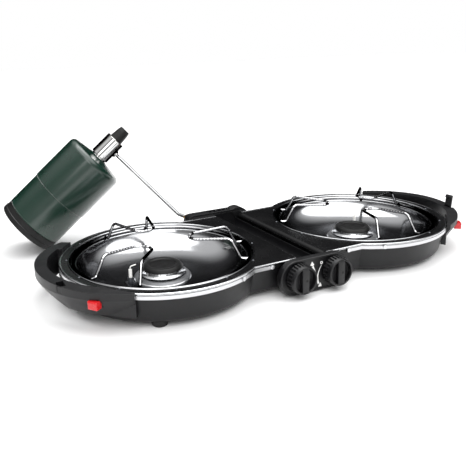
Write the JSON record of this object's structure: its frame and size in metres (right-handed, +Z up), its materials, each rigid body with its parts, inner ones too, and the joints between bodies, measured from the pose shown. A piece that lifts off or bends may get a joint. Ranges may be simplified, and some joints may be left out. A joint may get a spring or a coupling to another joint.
{
  "type": "folding two-burner camp stove",
  "caption": "Folding camp stove: two round halves with burner bowls and wire pot supports hinged to a central spine with knobs, and a fuel cylinder on a rigid pipe.",
  "frame": {"origin": "on the ground below the middle of the spine, at the centre of the spine's flat underside", "axes": "+X along the stove towards the half with the latch, +Y to the back where the fuel pipe joins, +Z up"},
  "size_m": [0.6428, 0.4102, 0.1859],
  "materials": {
    "pan_paint": "satin",
    "deck_steel": "polished",
    "bowl_steel": "polished",
    "burner_cast": "cast",
    "burner_steel": "polished",
    "cap_black": "matt",
    "wire_chrome": "polished",
    "case_plastic": "fine texture",
    "button_red": "gloss",
    "ceramic": "glazed",
    "bracket_steel": "satin",
    "screw_steel": "polished",
    "rubber_black": "matt",
    "brass": "machined",
    "pipe_steel": "polished",
    "regulator_plate": "polished",
    "cylinder_green": "gloss",
    "cup_black": "satin"
  },
  "bodies": {
    "spine": {"spine_housing": "case_plastic", "spine_base": "pan_paint", "spine_screws": "screw_steel", "control_panel": "case_plastic", "rear_housing": "case_plastic", "gas_manifold": "pipe_steel", "gas_inlet": "brass", "left_valve": "brass", "right_valve": "brass", "left_gas_feed": "brass", "right_gas_feed": "brass", "left_hinge_pin": "bracket_steel", "right_hinge_pin": "bracket_steel", "fuel_pipe": "pipe_steel", "regulator_body": "regulator_plate", "regulator_cap": "cup_black"},
    "left_half": {"left_base_pan": "pan_paint", "left_deck": "deck_steel", "left_bowl": "bowl_steel", "left_burner_body": "burner_cast", "left_burner_ring": "burner_steel", "left_burner_cap": "cap_black", "left_electrode": "ceramic", "left_electrode_bracket": "bracket_steel", "left_handle_upper": "case_plastic", "left_handle_lower": "case_plastic", "left_igniter": "case_plastic", "left_feet": "rubber_black", "left_trim_screws": "screw_steel", "left_rim_rivets": "screw_steel"},
    "right_half": {"right_base_pan": "pan_paint", "right_deck": "deck_steel", "right_bowl": "bowl_steel", "right_burner_body": "burner_cast", "right_burner_ring": "burner_steel", "right_burner_cap": "cap_black", "right_electrode": "ceramic", "right_electrode_bracket": "bracket_steel", "right_handle_upper": "case_plastic", "right_handle_lower": "case_plastic", "right_igniter": "case_plastic", "right_feet": "rubber_black", "right_trim_screws": "screw_steel", "right_rim_rivets": "screw_steel", "latch_pin": "bracket_steel"},
    "left_grate": {"left_grate": "wire_chrome"},
    "right_grate": {"right_grate": "wire_chrome"},
    "left_button": {"left_button": "button_red"},
    "right_button": {"right_button": "button_red"},
    "left_knob": {"left_knob": "case_plastic"},
    "right_knob": {"right_knob": "case_plastic"},
    "latch": {"latch_hook": "case_plastic"},
    "fuel_cylinder": {"cylinder_shell": "cylinder_green", "cylinder_cup": "cup_black", "cylinder_valve": "brass"}
  },
  "joints": [
    {"name": "left_fold", "type": "hinge", "parent": "spine", "child": "left_half", "pos_m": [-0.023, 0, 0.037], "axis": [0, 1, 0], "range_deg": [0, 90]},
    {"name": "right_fold", "type": "hinge", "parent": "spine", "child": "right_half", "pos_m": [0.023, 0, 0.037], "axis": [0, -1, 0], "range_deg": [0, 90]},
    {"name": "left_grate_lift", "type": "slide", "parent": "left_half", "child": "left_grate", "axis": [0, 0, 1], "range_m": [0, 0.01]},
    {"name": "left_knob_turn", "type": "hinge", "parent": "spine", "child": "left_knob", "pos_m": [-0.0268, -0.125, 0.0245], "axis": [0, -1, 0], "range_deg": [0, 150]},
    {"name": "left_button_press", "type": "slide", "parent": "left_half", "child": "left_button", "axis": [0.788, 0.6157, 0], "range_m": [0, 0.004], "stiffness_N_per_m": 600},
    {"name": "right_grate_lift", "type": "slide", "parent": "right_half", "child": "right_grate", "axis": [0, 0, 1], "range_m": [0, 0.01]},
    {"name": "right_knob_turn", "type": "hinge", "parent": "spine", "child": "right_knob", "pos_m": [0.0268, -0.125, 0.0245], "axis": [0, -1, 0], "range_deg": [0, 150]},
    {"name": "right_button_press", "type": "slide", "parent": "right_half", "child": "right_button", "axis": [-0.788, 0.6157, 0], "range_m": [0, 0.004], "stiffness_N_per_m": 600},
    {"name": "latch_tilt", "type": "hinge", "parent": "right_half", "child": "latch", "pos_m": [0.30038, -0.052, 0.046], "axis": [0, 1, 0], "range_deg": [0, 8], "stiffness_Nm_per_rad": 0.08},
    {"name": "cylinder_unscrew", "type": "hinge", "parent": "spine", "child": "fuel_cylinder", "pos_m": [-0.2913, 0.2304, 0.03567], "axis": [0.7301, -0.1619, 0.6639], "range_deg": [0, 360]}
  ]
}
